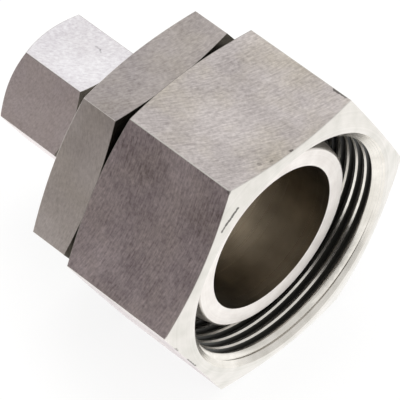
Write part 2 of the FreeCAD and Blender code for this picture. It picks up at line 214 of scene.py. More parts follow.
def thread_cutter(crest, root, root_flat, pitch, start, turns):
    """The solid groove of a right-hand thread that runs from start towards -X."""
    outwards = 1 if root > crest else -1
    bevel_depth, bevel_width = CREST_BEVEL
    half_root = pitch * root_flat / 2
    half_neck = half_root + (abs(root - crest) - bevel_depth) * FLANK
    half_crest = half_root + abs(root - crest) * FLANK + bevel_width
    half_opening = half_crest + (half_crest - half_neck) * BEYOND / bevel_depth
    neck, opening = crest + outwards * bevel_depth, crest - outwards * BEYOND
    half_section = [(half_opening, opening), (half_neck, neck), (half_root, root)]
    section = [(start - half, radius) for half, radius in half_section]
    section += [(start + half, radius) for half, radius in reversed(half_section)]
    cutter = bmesh.new()
    corners = [cutter.verts.new((x, 0, radius)) for x, radius in section]
    for pair in zip(corners, corners[1:] + corners[:1]):
        cutter.edges.new(pair)
    steps = int(TURN_STEPS * turns)
    bmesh.ops.spin(cutter, geom=cutter.verts[:] + cutter.edges[:], cent=CENTRE, axis=AXIS,
                   dvec=-AXIS * pitch / TURN_STEPS, angle=-FULL_TURN * turns, steps=steps)
    bmesh.ops.holes_fill(cutter, edges=cutter.edges[:], sides=0)
    bmesh.ops.recalc_face_normals(cutter, faces=cutter.faces[:])
    return cutter


def cut_away(work, cutter):
    """Takes the cutter out of the work and returns the work that is left."""
    block, tool = (bpy.data.objects.new(name, bpy.data.meshes.new(name)) for name in ("block", "tool"))
    for holder, shape in ((block, work), (tool, cutter)):
        shape.to_mesh(holder.data)
        shape.free()
        bpy.context.collection.objects.link(holder)
    modifier = block.modifiers.new("cut", "BOOLEAN")
    modifier.object = tool
    modifier.operation = "DIFFERENCE"
    modifier.solver = "MANIFOLD"
    cut_mesh = block.evaluated_get(bpy.context.evaluated_depsgraph_get()).to_mesh()
    left = bmesh.new()
    left.from_mesh(cut_mesh)
    for holder in (block, tool):
        bpy.data.objects.remove(holder)
    return left


# %% [markdown]
# ## From work to piece
# A finished piece gets its finish face by face. Two cutters on one arbor mill two opposite flats in one
# pass, so a hexagon's flats come in pairs. The top pair has one material and the other flats another:
# their strokes run at different angles, and their tones are painted light and shade, lighter or darker
# copies of the same ground steel for how each flat is lit.
# The turned faces have a third and the bores and threads a fourth. The fifth is painted shade: darker
# steel on the turned faces between two pieces, where shade falls in the gap. The last is the smoother
# steel of the mouth. The flats also get a UV map in millimetres, along the axis and across the flat, so
# that their grain can follow them. Edges between two finishes are marked sharp, and weighted normals
# keep large faces even.

# %% Finishing a mesh
SHARP_ANGLE = math.radians(28)
FLAT_MAP = "flats"
# The fifth kind is painted shade for the turned faces in the gaps between two pieces
TURNED, TOP_PAIR, SIDE_PAIRS, BORE, GAP_SHADE, MOUTH = range(6)


def map_flat(face, layer):
    """Writes the face's place along the axis and across the flat, in millimetres."""
    across = AXIS.cross(face.normal)
    for loop in face.loops:
        loop[layer].uv = (loop.vert.co.x, loop.vert.co.dot(across))


def finish(work, name, node, finishes, across=None, kind_at=None):
    """Makes the piece from the work. Finishes are its materials, in the order of the kinds above."""
    layer = work.loops.layers.uv.new(FLAT_MAP)
    flats = {face for face in work.faces if across and is_flat(face, across)}
    for face in work.faces:
        face.smooth = True
        centre = face.calc_center_median()
        outwards = Vector((0, centre.y, centre.z)).normalized()
        if face in flats:
            # The top pair and the side flats get lighter or darker copies of one steel: painted light and
            # shade
            face.material_index = TOP_PAIR if abs(face.normal.z) > 0.9 else SIDE_PAIRS
            map_flat(face, layer)
        elif kind_at:
            face.material_index = kind_at(centre.x, centre.yz.length, face.normal.dot(outwards))
    for edge in work.edges:
        kinds = {face.material_index for face in edge.link_faces}
        edge.smooth = len(kinds) == 1 and edge.calc_face_angle(0) < SHARP_ANGLE
    bmesh.ops.scale(work, vec=(MM, MM, MM), verts=work.verts[:])
    mesh = bpy.data.meshes.new(name)
    work.to_mesh(mesh)
    open_edges = sum(not edge.is_manifold for edge in work.edges)
    work.free()
    for material in finishes:
        mesh.materials.append(material)
    piece = bpy.data.objects.new(name, mesh)
    bpy.context.collection.objects.link(piece)
    piece.modifiers.new("large_faces_stay_flat", "WEIGHTED_NORMAL").keep_sharp = True
    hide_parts(node)
    body = next(body for body, nodes in frame["record"]["behaviour"]["bodies"].items() if node in nodes)
    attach(piece, body)
    print(f"{name}: {len(mesh.polygons)} faces, {open_edges} open edges, rides on {body}")


# %% [markdown]
# ## Materials
# Everything but the seal is steel, so what tells the pieces apart is how each surface was made. A metal
# has no colour of its own beyond its reflection's tint: its base colour is its reflectance. What the
# eye reads as grain is fine scratches, so grain goes into the roughness, a small bump and a little
# colour. Colours are written as sRGB hex values and turned to linear by one function.

# %% Colour and node helpers
def linear(hex_colour):
    """Linear RGBA from an sRGB hex value."""
    channels = [int(hex_colour[i:i + 2], 16) / 255 for i in (1, 3, 5)]
    return [c / 12.92 if c <= 0.04045 else ((c + 0.055) / 1.055) ** 2.4 for c in channels] + [1.0]


def add_node(tree, kind, inputs=(), **settings):
    """Adds a node with its settings; an input's value is a number, a colour or another node's output."""
    node = tree.nodes.new(kind)
    for name, value in settings.items():
        setattr(node, name, value)
    for name, value in dict(inputs).items():
        if isinstance(value, bpy.types.NodeSocket):
            tree.links.new(value, node.inputs[name])
        else:
            node.inputs[name].default_value = value
    return node


def new_material(name):
    """An empty node material with its shader and output."""
    material = bpy.data.materials.new(name)
    material.use_nodes = True
    tree = material.node_tree
    tree.nodes.clear()
    shader = add_node(tree, "ShaderNodeBsdfPrincipled")
    add_node(tree, "ShaderNodeOutputMaterial", {"Surface": shader.outputs["BSDF"]})
    return material, tree, shader


# %% [markdown]
# ### Marks of wear and a painted shadow
# The fitting has been handled: a few dents and scratches have filled with dirt. The same dark lines also
# paint a shadow line near the rim of the swivel nut's mouth. Each is a short line between two places on
# the surface, in millimetres. A point is in the mark where its distance from that line is less than half
# the mark's width. A little noise in the distance makes its edge ragged.

# %% Marks of wear and a painted shadow
DIRT_AND_SHADOW = "#1F1B18"


def add_marks_and_shadow(tree, in_mm, colour, marks):
    """The colour with marks of dirt or painted shadow: each is a start, an end, a width and how dark it is.
    """
    ragged = add_node(tree, "ShaderNodeTexNoise", {"Vector": in_mm, "Scale": 2.5, "Detail": 2.0})
    for start, end, width, darkness in marks:
        line = Vector(end) - Vector(start)
        from_start = add_node(tree, "ShaderNodeVectorMath", {0: in_mm, 1: start}, operation="SUBTRACT")
        along = add_node(tree, "ShaderNodeVectorMath", {0: from_start.outputs[0], 1: line.normalized()},
                         operation="DOT_PRODUCT").outputs["Value"]
        held = add_node(tree, "ShaderNodeClamp", {"Value": along, "Max": line.length}).outputs[0]
        nearest = add_node(tree, "ShaderNodeVectorMath", {0: line.normalized(), "Scale": held},
                           operation="SCALE").outputs[0]
        distance = add_node(tree, "ShaderNodeVectorMath", {0: from_start.outputs[0], 1: nearest},
                            operation="DISTANCE").outputs["Value"]
        reach = add_node(tree, "ShaderNodeMath", {0: ragged.outputs["Fac"], 1: width},
                         operation="MULTIPLY").outputs[0]
        inside = add_node(tree, "ShaderNodeMath", {0: reach, 1: distance}, operation="SUBTRACT").outputs[0]
        mask = add_node(tree, "ShaderNodeMapRange", {"Value": inside, "From Min": -0.05, "From Max": 0.05,
                                                     "To Max": darkness}).outputs[0]
        colour = add_node(tree, "ShaderNodeMix", {"Factor": mask, "A": colour, "B": linear(DIRT_AND_SHADOW)},
                          data_type="RGBA").outputs["Result"]
    return colour


# %% [markdown]
# ### Ground flats
# The flats of a stainless nut are finished with a wide cutter or a grinding belt that crosses them. It
# leaves fine, slightly arched strokes across the flat, each about a tenth of a millimetre wide. Those
# would vanish at this picture size, so they are drawn near a third of a millimetre wide. Noise that
# is squeezed in one direction gives the strokes, and their arch comes from measuring the distance from
# a far point, as the rim of a cutter would.

# %% Ground stainless steel
# Width and length of a grinding stroke as drawn, and the radius of its arch, in millimetres
STROKE_WIDTH = 0.30
STROKE_LENGTH = 2.6
STROKE_ARCH = 70.0


def ground_steel(name, light, dark, stroke_angle, stain=0.5, marks=(), roughness=0.36):
    """Stainless flats with arched strokes, in two tones; their angle is taken from straight across."""
    material, tree, shader = new_material(name)
    lean = math.radians(stroke_angle)
    arch_centre = (-STROKE_ARCH * math.cos(lean), -STROKE_ARCH * math.sin(lean), 0)
    flat = add_node(tree, "ShaderNodeUVMap", uv_map=FLAT_MAP).outputs["UV"]
    place = add_node(tree, "ShaderNodeTexCoord").outputs["Object"]
    in_mm = add_node(tree, "ShaderNodeVectorMath", {0: place, "Scale": 1 / MM}, operation="SCALE").outputs[0]
    from_centre = add_node(tree, "ShaderNodeVectorMath", {0: flat, 1: arch_centre},
                           operation="SUBTRACT").outputs[0]
    distance = add_node(tree, "ShaderNodeVectorMath", {0: from_centre}, operation="LENGTH").outputs["Value"]
    parts = add_node(tree, "ShaderNodeSeparateXYZ", {0: from_centre})
    angle = add_node(tree, "ShaderNodeMath", {0: parts.outputs["Y"], 1: parts.outputs["X"]},
                     operation="ARCTAN2").outputs[0]
    across_strokes = add_node(tree, "ShaderNodeMath", {0: distance, 1: 1 / STROKE_WIDTH},
                              operation="MULTIPLY").outputs[0]
    along_strokes = add_node(tree, "ShaderNodeMath", {0: angle, 1: STROKE_ARCH / STROKE_LENGTH},
                             operation="MULTIPLY").outputs[0]
    stretched = add_node(tree, "ShaderNodeCombineXYZ", {"X": across_strokes, "Y": along_strokes}).outputs[0]
    strokes = add_node(tree, "ShaderNodeTexNoise", {"Vector": stretched, "Scale": 1.0, "Detail": 4.0,
                                                    "Roughness": 0.62}).outputs["Fac"]
    speckle = add_node(tree, "ShaderNodeTexNoise", {"Vector": in_mm, "Scale": 1.6, "Detail": 3.0,
                                                    "Roughness": 0.6}).outputs["Fac"]
    clouds = add_node(tree, "ShaderNodeTexNoise", {"Vector": in_mm, "Scale": 0.12, "Detail": 3.0})
    grain = add_node(tree, "ShaderNodeMix", {"Factor": 0.42, "A": strokes, "B": speckle}, data_type="FLOAT")
    tone = add_node(tree, "ShaderNodeMapRange", {"Value": grain.outputs[0], "From Min": 0.3,
                                                 "From Max": 0.7})
    patchy = add_node(tree, "ShaderNodeMapRange", {"Value": clouds.outputs["Fac"], "From Min": 0.3,
                                                   "From Max": 0.7, "To Min": -0.2, "To Max": 0.2})
    mixed = add_node(tree, "ShaderNodeMath", {0: tone.outputs[0], 1: patchy.outputs[0]}, operation="ADD",
                     use_clamp=True).outputs[0]
    steel = add_node(tree, "ShaderNodeMix", {"Factor": mixed, "A": linear(dark), "B": linear(light)},
                     data_type="RGBA")
    film = add_node(tree, "ShaderNodeMapRange", {"Value": clouds.outputs["Color"], "From Min": 0.42,
                                                 "From Max": 0.68, "To Max": stain}).outputs[0]
    colour = add_node(tree, "ShaderNodeMix", {"Factor": film, "A": steel.outputs["Result"],
                                              "B": linear("#F3F1DF")}, data_type="RGBA",
                      blend_type="MULTIPLY").outputs["Result"]
    colour = add_marks_and_shadow(tree, in_mm, colour, marks)
    rough = add_node(tree, "ShaderNodeMapRange", {"Value": grain.outputs[0], "From Min": 0.3, "From Max": 0.7,
                                                  "To Min": roughness + 0.06, "To Max": roughness - 0.06})
    bump = add_node(tree, "ShaderNodeBump", {"Height": grain.outputs[0], "Strength": 0.25,
                                             "Distance": 0.02 * MM})
    tree.links.new(colour, shader.inputs["Base Color"])
    tree.links.new(rough.outputs[0], shader.inputs["Roughness"])
    tree.links.new(bump.outputs[0], shader.inputs["Normal"])
    shader.inputs["Metallic"].default_value = 1.0
    return material


# %% [markdown]
# ### Turned faces and bores
# A lathe leaves a very fine spiral, so a turned face scatters light in rings round the axis. The
# pattern is noise that changes with the place along the axis and with the distance from it, and not
# with the angle. Inside the bores the same steel looks darker, because it mirrors little but itself and
# a film of cutting oil stays there.

# %% Turned stainless steel
# Spacing of the lathe's marks as drawn, in millimetres; the real feed is about a third of that
LATHE_MARK = 0.22


def turned_steel(name, light, dark, roughness, rings_share=0.6, patch=2.0, marks=()):
    """Stainless steel with lathe marks round the X axis and patches of a size in millimetres."""
    material, tree, shader = new_material(name)
    place = add_node(tree, "ShaderNodeTexCoord").outputs["Object"]
    in_mm = add_node(tree, "ShaderNodeVectorMath", {0: place, "Scale": 1 / MM}, operation="SCALE").outputs[0]
    across = add_node(tree, "ShaderNodeVectorMath", {0: in_mm, 1: (0, 1, 1)}, operation="MULTIPLY").outputs[0]
    radius = add_node(tree, "ShaderNodeVectorMath", {0: across}, operation="LENGTH").outputs["Value"]
    along = add_node(tree, "ShaderNodeSeparateXYZ", {0: in_mm}).outputs["X"]
    section = add_node(tree, "ShaderNodeCombineXYZ", {"X": along, "Y": radius}).outputs[0]
    rings = add_node(tree, "ShaderNodeTexNoise", {"Vector": section, "Scale": 1 / LATHE_MARK, "Detail": 3.0,
                                                  "Roughness": 0.6}).outputs["Fac"]
    blotches = add_node(tree, "ShaderNodeTexNoise", {"Vector": in_mm, "Scale": 1 / patch, "Detail": 3.0})
    grain = add_node(tree, "ShaderNodeMix", {"Factor": rings_share, "A": blotches.outputs["Fac"],
                                             "B": rings}, data_type="FLOAT")
    tone = add_node(tree, "ShaderNodeMapRange", {"Value": grain.outputs[0], "From Min": 0.32,
                                                 "From Max": 0.68})
    colour = add_node(tree, "ShaderNodeMix", {"Factor": tone.outputs[0], "A": linear(dark),
                                              "B": linear(light)}, data_type="RGBA").outputs["Result"]
    colour = add_marks_and_shadow(tree, in_mm, colour, marks)
    rough = add_node(tree, "ShaderNodeMapRange", {"Value": rings, "From Min": 0.3, "From Max": 0.7,
                                                  "To Min": roughness + 0.05, "To Max": roughness - 0.05})
    bump = add_node(tree, "ShaderNodeBump", {"Height": rings, "Strength": 0.5 * rings_share,
                                             "Distance": 0.006 * MM})
    tree.links.new(colour, shader.inputs["Base Color"])
    tree.links.new(rough.outputs[0], shader.inputs["Roughness"])
    tree.links.new(bump.outputs[0], shader.inputs["Normal"])
    shader.inputs["Metallic"].default_value = 1.0
    return material


# %% [markdown]
# ### Rubber and the thread's coating
# Stainless threads seize on each other, so the nut's thread is coated with a dark dry lubricant. It has
# worn off the crests, which shine. Neither it nor rubber is a metal: each has its own colour and a weak
# sheen, so one function serves both.

# %% Dark coating and moulded rubber
def dull_black(name, colour, bloom, roughness):
    """A dark, dull surface with faint paler patches."""
    material, tree, shader = new_material(name)
    place = add_node(tree, "ShaderNodeTexCoord").outputs["Object"]
    patches = add_node(tree, "ShaderNodeTexNoise", {"Vector": place, "Scale": 0.4 / MM, "Detail": 3.0})
    mixed = add_node(tree, "ShaderNodeMix", {"Factor": patches.outputs["Fac"], "A": linear(colour),
                                             "B": linear(bloom)}, data_type="RGBA")
    tree.links.new(mixed.outputs["Result"], shader.inputs["Base Color"])
    shader.inputs["Roughness"].default_value = roughness
    shader.inputs["IOR"].default_value = 1.52
    return material


# %% The fitting's finishes, with painted light and shade on the flats and in the gaps
# Marks of wear on the swivel nut's top flat, its other flats and its front, and on the tube nut's top;
# the last two front marks are a painted shadow line near the mouth's rim
top_marks = [
    ((-4.9, 14.2, 25.0), (-2.6, 14.5, 25.0), 0.8, 0.75),
    ((-2.4, -6.8, 25.0), (-2.2, -6.6, 25.0), 0.5, 0.3),
    ((-1.4, -4.9, 25.0), (-1.3, -4.7, 25.0), 0.4, 0.4),
    ((-0.7, -1.0, 25.0), (-0.5, -0.8, 25.0), 0.6, 0.7),
]
side_marks = [
    ((-1.6, -14.5, 24.9), (-1.2, -15.8, 24.1), 0.6, 0.5),
    ((-0.9, -26.9, -3.6), (-0.9, -26.5, -4.2), 0.7, 0.5),
    ((-0.5, -24.3, -8.2), (-0.5, -22.6, -11.0), 0.7, 0.7),
]
front_marks_and_shadow = side_marks + [
    # painted shadow: a dark line near the mouth's rim, on the nut's front bevel
    ((-0.34, -13.5, 21.2), (-0.32, -16.3, 19.2), 0.42, 0.8),
    ((-0.31, -16.6, 18.9), (-0.31, -17.2, 18.3), 0.36, 0.7),
]
small_marks = [
    ((-49.1, 2.9, 11.0), (-48.0, 2.9, 11.0), 0.3, 0.25),
    ((-48.0, 2.9, 11.0), (-47.5, 2.5, 11.0), 0.3, 0.3),
]
# The top and side flats' tones are painted light and shade, matched to how each flat is lit
nut_top = ground_steel("swivel_nut_ground_top_painted_light_and_shade", "#DFD7D4", "#A29A98", 19.0, 0.7, top_marks)
nut_sides = ground_steel("swivel_nut_ground_sides_painted_light_and_shade", "#DDD0D2", "#837678", 3.0, 0.4, side_marks)
nut_turned = turned_steel("swivel_nut_turned_steel", "#DAD6D1", "#C6C4BD", 0.34, 0.3, 3.5, front_marks_and_shadow)
# Painted shade: darker turned steel for the faces in the gaps between two pieces
gap_shade_steel = turned_steel("painted_gap_shade_steel", "#8E8A84", "#6E6A64", 0.3)
mouth_steel = turned_steel("swivel_nut_mouth_steel", "#DEDAD3", "#CAC6BE", 0.25, 0.12, 3.5)
thread_coat = dull_black("dry_lubricant_on_thread", "#1C1C19", "#33322D", 0.38)
body_top = ground_steel("body_ground_top_painted_light_and_shade", "#C5BDBB", "#928A89", 12.0, 0.5)
body_sides = ground_steel("body_ground_sides_painted_light_and_shade", "#D5CDC9", "#ABA29D", -4.0, 0.3)
body_turned = turned_steel("body_turned_steel", "#D6D2CD", "#C4BFB9", 0.32)
nose_steel = turned_steel("faced_nose_steel", "#F0ECE8", "#DDD8D3", 0.5, 0.3, 3.0)
bore_steel = turned_steel("drilled_bore_steel", "#D1C9BC", "#9A9286", 0.3, 0.1, 8.0)
small_top = ground_steel("tube_nut_ground_top_painted_light_and_shade", "#FFFDFF", "#D5CFD4", 16.0, 0.1, small_marks)
small_sides = ground_steel("tube_nut_ground_sides_painted_light_and_shade", "#E4D9DA", "#B2A5A4", 5.0, 0.3)
small_turned = turned_steel("tube_nut_turned_steel", "#B9B3AE", "#9E9893", 0.34)
ring_steel = turned_steel("hardened_ring_steel", "#A8A39C", "#7F7A73", 0.30)
wire_steel = turned_steel("drawn_spring_wire", "#B5B1AB", "#8C8882", 0.26)
seal_rubber = dull_black("moulded_nitrile_rubber", "#16150F", "#2B2A27", 0.5)

# %% [markdown]
# ## The swivel nut
# The nut is turned from hexagon bar: faced and bevelled at both ends, bored in steps, then tapped. The
# bore is part of the blank's outline, so one spin makes the outside and the inside. From the mouth
# inwards it has a countersink, the thread, a relief for the tap to run out into, and the bore that
# turns on the body's shank, with a groove for the retaining ring.

# %% Swivel nut
# A tapping drill is a little larger than the thread's full form needs, so the crests are cut back
CREST_CUT_BACK = 0.15
BIG_ROOT = BIG_THREAD / 2
BIG_CREST = BIG_ROOT - THREAD_DEPTH * BIG_PITCH + CREST_CUT_BACK
MOUTH_RADIUS = BIG_ROOT + 0.7
RELIEF_RADIUS = BIG_ROOT + 0.15
RELIEF_START, RELIEF_END = -12.4, -15.4
WIRE_ROOM = 21.8
WIRE_SLACK = 0.05
nut_outline = end_bevels(0.0, NUT_REAR, NUT_FLATS, 1.0, 16) + [
    (NUT_REAR, NUT_BORE + 0.3),
    (NUT_REAR + 0.3, NUT_BORE),
    (wire_low.x - WIRE_SLACK, NUT_BORE),
    (wire_low.x - WIRE_SLACK, WIRE_ROOM),
    (wire_high.x + WIRE_SLACK, WIRE_ROOM),
    (wire_high.x + WIRE_SLACK, NUT_BORE),
    (RELIEF_END - (RELIEF_RADIUS - NUT_BORE), NUT_BORE),
    (RELIEF_END, RELIEF_RADIUS),
    (RELIEF_START - (RELIEF_RADIUS - BIG_CREST) / 2, RELIEF_RADIUS),
    (RELIEF_START, BIG_CREST),
    (BIG_CREST - MOUTH_RADIUS, BIG_CREST),
    (0.0, MOUTH_RADIUS),
]
nut_work = turned(nut_outline)
mill_flats(nut_work, NUT_FLATS)

tap = thread_cutter(BIG_CREST, BIG_ROOT, 1 / 8, BIG_PITCH, BIG_PITCH, 8)
nut_work = cut_away(nut_work, tap)

# %% Swivel nut's finishes
# The coating starts this far inside the mouth; the part of the thread before it is bare
COAT_START = -1.7
# The rear bevel, which is this long, gets the painted shade of the gap to the body's hexagon
REAR_BEVEL = 1.6
# Room for rounding where a face's middle is compared with a limit, in millimetres
NEAR = 0.02


def nut_kind(x, radius, facing):
    """The kind of surface that a face of the nut belongs to."""
    # Painted shade of the gap to the body on the nut's rear bevel and rear face
    if x < NUT_REAR + REAR_BEVEL and radius > NUT_BORE + 0.2:
        return GAP_SHADE
    on_crest = x > RELIEF_START and radius < BIG_CREST + CREST_BEVEL[0] - 0.05
    if x < COAT_START and radius < MOUTH_RADIUS and not on_crest:
        return BORE
    return MOUTH if radius < MOUTH_RADIUS - NEAR else TURNED


nut_finishes = [nut_turned, nut_top, nut_sides, thread_coat, gap_shade_steel, mouth_steel]
finish(nut_work, "swivel_union_nut", "swivel_nut", nut_finishes,
       across=NUT_FLATS, kind_at=nut_kind)

# %% [markdown]
# ## The body
# The body is one turned piece. Its nose has a 24 degree cone with a groove for the seal, then come the
# shank with the retaining ring's groove, the hexagon, an undercut and the threaded stud. It is bored
# from both ends. The milling planes lie outside the shank and the stud, so the same function that
# milled the nut mills the hexagon here without touching them.

# %% Body
SMALL_ROOT = SMALL_THREAD / 2 - THREAD_DEPTH * SMALL_PITCH
SEAL_GROOVE_RADIUS = 16.4
SEAL_GROOVE_START, SEAL_GROOVE_END = NOSE_FACE - 2.6, NOSE_FACE - 5.8
WIRE_GROOVE_RADIUS = 17.9
WIRE_GROOVE_START, WIRE_GROOVE_END = -19.05, -22.85
UNDERCUT_RADIUS = SMALL_ROOT - 0.15
UNDERCUT_END = HEX_REAR - 3.0
DRILL_POINT = math.tan(math.radians(59))
BORE_END = NOSE_FACE - 24.0
TUBE_STOP = STUD_FACE + 7.0


def nose_cone(x):
    """Radius of the sealing cone at x."""
    return NOSE_RADIUS + (NOSE_FACE - x) * CONE


body_outline = [
    (NOSE_FACE, MAIN_BORE),
    (NOSE_FACE, NOSE_RADIUS - 0.3),
    (NOSE_FACE - 0.3, nose_cone(NOSE_FACE - 0.3)),
    (SEAL_GROOVE_START, nose_cone(SEAL_GROOVE_START)),
    (SEAL_GROOVE_START, SEAL_GROOVE_RADIUS),
    (SEAL_GROOVE_END, SEAL_GROOVE_RADIUS),
    (SEAL_GROOVE_END, nose_cone(SEAL_GROOVE_END)),
    (NOSE_FACE - (SHANK_RADIUS - NOSE_RADIUS) / CONE, SHANK_RADIUS),
    (WIRE_GROOVE_START, SHANK_RADIUS),
    (WIRE_GROOVE_START, WIRE_GROOVE_RADIUS),
    (WIRE_GROOVE_END, WIRE_GROOVE_RADIUS),
    (WIRE_GROOVE_END, SHANK_RADIUS),
    (HEX_FRONT, SHANK_RADIUS),
] + end_bevels(HEX_FRONT, HEX_REAR, HEX_FLATS, 0.7, 15) + [
    (HEX_REAR, UNDERCUT_RADIUS),
    (UNDERCUT_END, UNDERCUT_RADIUS),
    (UNDERCUT_END - (SMALL_THREAD / 2 - UNDERCUT_RADIUS), SMALL_THREAD / 2),
    (STUD_FACE + 1.0, SMALL_THREAD / 2),
    (STUD_FACE, SMALL_THREAD / 2 - 1.0),
    (STUD_FACE, SOCKET_MOUTH),
    (STUD_FACE + (SOCKET_MOUTH - TUBE_HOLE) / CONE, TUBE_HOLE),
    (TUBE_STOP, TUBE_HOLE),
    (TUBE_STOP, FLOW_BORE),
    (BORE_END - (MAIN_BORE - FLOW_BORE) / DRILL_POINT, FLOW_BORE),
    (BORE_END, MAIN_BORE),
]
body_work = turned(body_outline)
mill_flats(body_work, HEX_FLATS, HEX_TURN, FINE_BREAK)
THREAD_PHASE = HEX_REAR - 1.5
stud_turns = (THREAD_PHASE - STUD_FACE) / SMALL_PITCH + 1
die = thread_cutter(SMALL_THREAD / 2, SMALL_ROOT, 1 / 4, SMALL_PITCH, THREAD_PHASE, stud_turns)
body_work = cut_away(body_work, die)

# %% Body's finishes
# Length along the axis of the bevel on the hexagon's front
FRONT_BEVEL = 2.5


def body_kind(x, radius, facing):
    """The hexagon's front gets the gap's painted shade, the nose is faced, and the bores look inwards."""
    # Painted shade of the gap to the swivel nut on the hexagon's front bevel and face
    if HEX_FRONT - FRONT_BEVEL < x < HEX_FRONT + 0.1 and radius > SHANK_RADIUS + 0.2:
        return GAP_SHADE
    if x > NOSE_FACE - NEAR:
        return MOUTH
    return BORE if radius < MAIN_BORE + 0.05 and facing < 0.2 else TURNED


body_finishes = [body_turned, body_top, body_sides, bore_steel, gap_shade_steel, nose_steel]
finish(body_work, "turned_reducer_body", "reducer_body", body_finishes,
       across=HEX_FLATS, kind_at=body_kind)

# %% [markdown]
# ## The tube nut, the cutting ring, the wire and the seal
# The tube nut is made as the large one was. Its thread is cut half a pitch away from the stud's, so
# that the crests of one lie in the grooves of the other. The cutting ring is a plain turning. The
# retaining ring is round wire bent to an open ring, and the seal is a whole one: both come from a
# circle that is spun, the wire's by less than a full turn.

# %% Tube nut
SMALL_CLEARANCE = 0.1
RING_ROOM = COLLAR_RADIUS + 0.9
small_inside = small_low.x + 3.35
small_front, small_rear = small_high.x, small_low.x
small_crest = SMALL_ROOT + SMALL_CLEARANCE
small_major = SMALL_THREAD / 2 + SMALL_CLEARANCE
room_start = small_inside + (RING_ROOM - TUBE_HOLE)
small_outline = end_bevels(small_front, small_rear, SMALL_FLATS, 0.4, 30) + [
    (small_rear, TUBE_HOLE),
    (small_inside, TUBE_HOLE),
    (room_start, RING_ROOM),
    (room_start + 0.5, RING_ROOM),
    (small_front - (small_major + 0.4 - small_crest), small_crest),
    (small_front, small_major + 0.4),
]
small_work = turned(small_outline)
mill_flats(small_work, SMALL_FLATS, SMALL_TURN, FINE_BREAK)
nut_phase = THREAD_PHASE - SMALL_PITCH * 2.5
small_tap = thread_cutter(small_crest, small_major, 1 / 8, SMALL_PITCH, nut_phase, 6)
small_work = cut_away(small_work, small_tap)

# %% Tube nut's finishes
SMALL_BEVEL = 1.5
small_wall = small_major + 0.3


def small_kind(x, radius, facing):
    """The tube nut is coated on all that looks inwards, and its front gets the gap's painted shade."""
    # Painted shade of the gap to the body's hexagon on the tube nut's front bevel
    if x > small_front - SMALL_BEVEL and radius > small_wall:
        return GAP_SHADE
    return BORE if radius < small_wall and facing < -0.1 else TURNED


small_finishes = [small_turned, small_top, small_sides, thread_coat, gap_shade_steel]
finish(small_work, "tube_union_nut", "tube_nut", small_finishes,
       across=SMALL_FLATS, kind_at=small_kind)

# %% Cutting ring
RING_TIP = SOCKET_MOUTH - 2.3 * CONE - 0.17
COLLAR_START, COLLAR_END = ring_high.x - 3.0, ring_high.x - 5.0
TOOTH = 0.3
ring_outline = [
    (ring_high.x, TUBE_HOLE),
    (ring_high.x, RING_TIP),
    (COLLAR_START, RING_TIP + 3.0 * CONE),
    (COLLAR_START, COLLAR_RADIUS),
    (COLLAR_END, COLLAR_RADIUS),
    (ring_low.x, TUBE_HOLE + 0.1),
    (ring_low.x, TUBE_HOLE),
    (COLLAR_END, TUBE_HOLE),
    (COLLAR_END + TOOTH, TUBE_HOLE + TOOTH),
    (ring_high.x - 2.25, TUBE_HOLE + TOOTH),
    (ring_high.x - 2.25, TUBE_HOLE),
    (ring_high.x - 1.65, TUBE_HOLE),
    (ring_high.x - 1.35, TUBE_HOLE + TOOTH),
    (ring_high.x - 0.6, TUBE_HOLE + TOOTH),
    (ring_high.x - 0.6, TUBE_HOLE),
]
ring_work = turned(ring_outline, KEEN_BREAK)
finish(ring_work, "hardened_cutting_ring", "cutting_ring", [ring_steel])


# %% Retaining ring and seal
def bent_wire(middle, bend_radius, wire_radius, opening=0.0):
    """Round wire bent to a ring about the axis; an opening in radians leaves two flat ends."""
    work = bmesh.new()
    placed = Matrix.Translation((middle, 0, bend_radius)) @ Matrix.Rotation(math.pi / 2, 4, "X")
    circle = bmesh.ops.create_circle(work, segments=32, radius=wire_radius, matrix=placed)["verts"]
    edges = list({edge for vert in circle for edge in vert.link_edges})
    bmesh.ops.spin(work, geom=circle + edges, cent=CENTRE, axis=AXIS, angle=FULL_TURN - opening,
                   steps=ROUND_STEPS, use_merge=not opening)
    if opening:
        bmesh.ops.holes_fill(work, edges=work.edges[:], sides=0)
    bmesh.ops.recalc_face_normals(work, faces=work.faces[:])
    return work


WIRE_OPENING = math.radians(14)
wire_radius = (wire_high.x - wire_low.x) / 2
wire_middle = (wire_low.x + wire_high.x) / 2
wire_work = bent_wire(wire_middle, wire_high.z - wire_radius, wire_radius, WIRE_OPENING)
finish(wire_work, "retaining_wire_ring", "retaining_ring", [wire_steel])
seal_radius = (seal_high.x - seal_low.x) / 2
seal_middle = (seal_low.x + seal_high.x) / 2
seal_work = bent_wire(seal_middle, seal_high.z - seal_radius, seal_radius)
finish(seal_work, "nose_seal_ring", "nose_o_ring", [seal_rubber])

# %% [markdown]
# ## Camera
# The picture was taken from far away with a long lens, from above and to the right of the mouth. The
# values below were solved from the edges of the three hexagons, so the render lines up with it. The
# view is turned by two degrees about the line of sight.

# %% Camera
AIM = Vector((-15.709, -5.888, 5.105)) * MM
AZIMUTH, ELEVATION, ROLL = 42.451, 47.906, 2.068
DISTANCE = 723.18 * MM
LENS = 389.98

lens = bpy.data.cameras.new("camera")
lens.sensor_width = 36.0
lens.lens = LENS
lens.clip_start, lens.clip_end = 0.05, 20.0
camera = bpy.data.objects.new("camera", lens)
bpy.context.collection.objects.link(camera)
azimuth, elevation = math.radians(AZIMUTH), math.radians(ELEVATION)
back = Vector((math.sin(azimuth) * math.cos(elevation), -math.cos(azimuth) * math.cos(elevation),
               math.sin(elevation)))
level = (-back).to_track_quat("-Z", "Y").to_matrix().to_4x4()
camera.matrix_world = Matrix.Translation(AIM + back * DISTANCE) @ level @ Matrix.Rotation(
    math.radians(ROLL), 4, "Z")
bpy.context.scene.camera = camera
print("camera at", [round(c / MM) for c in camera.matrix_world.translation])

